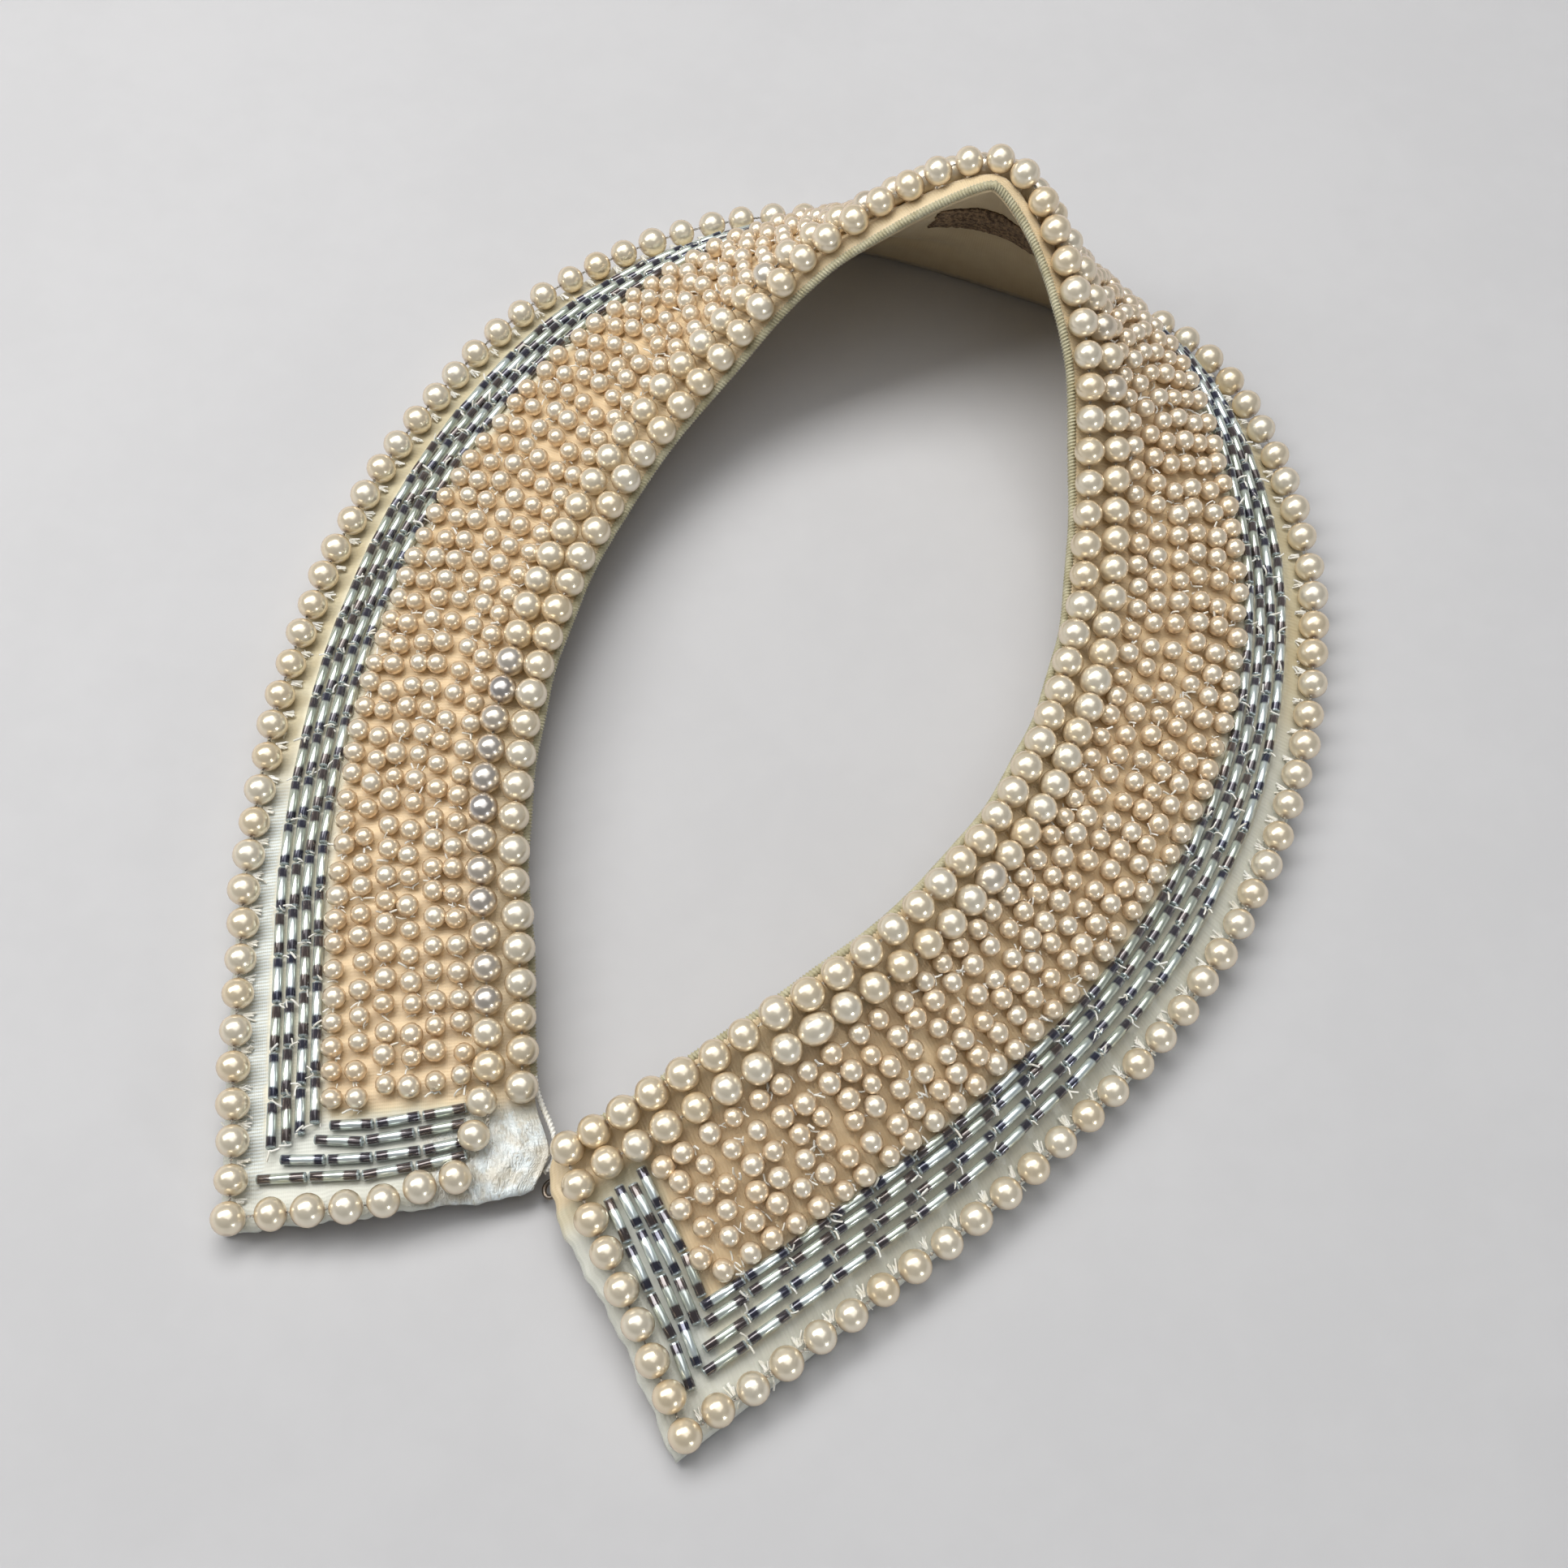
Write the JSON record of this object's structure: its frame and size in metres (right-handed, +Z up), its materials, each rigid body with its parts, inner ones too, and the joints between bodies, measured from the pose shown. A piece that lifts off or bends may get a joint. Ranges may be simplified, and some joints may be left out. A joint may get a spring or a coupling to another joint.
{
  "type": "pearl collar",
  "caption": "Beaded satin collar for wearing over a neckline, edged with rows of large pearls round a field of small ones and a glass bugle band, closed at the front of the neck and laid flat.",
  "frame": {"origin": "middle of the collar's outline on the surface it lies on", "axes": "+Z up from the surface, +Y towards the back of the neck, so the closed front is at -Y, +X to the wearer's left as the collar lies face up"},
  "size_m": [0.1642, 0.2116, 0.0438],
  "materials": {
    "satin": "cream satin, warm peach between the small pearls, worn white at the left front corner",
    "lining": "tan cream satin lining, softly creased",
    "edging": "ribbed cotton edging, greenish cream",
    "large_pearl": "imitation pearl, glossy cream nacre, a few silver grey",
    "small_pearl": "imitation pearl, glossy warm beige nacre",
    "bugle": "silver-lined glass bugles, steel blue with bright middles",
    "thread": "twisted cotton thread",
    "label": "plain dark brown woven patch, mottled, with nothing written on it",
    "hook": "darkened steel"
  },
  "bodies": {
    "root": {"satin_top": "satin", "lining": "lining", "neck_edging": "edging", "neck_pearls": "large_pearl", "second_pearls": "large_pearl", "outer_pearls": "large_pearl", "right_end_pearls": "large_pearl", "left_end_pearls": "large_pearl", "pearl_field": "small_pearl", "bugle_band": "bugle", "right_end_bugles": "bugle", "left_end_bugles": "bugle", "closing_loop": "thread", "closing_hook": "hook", "lining_label": "label"}
  },
  "joints": []
}
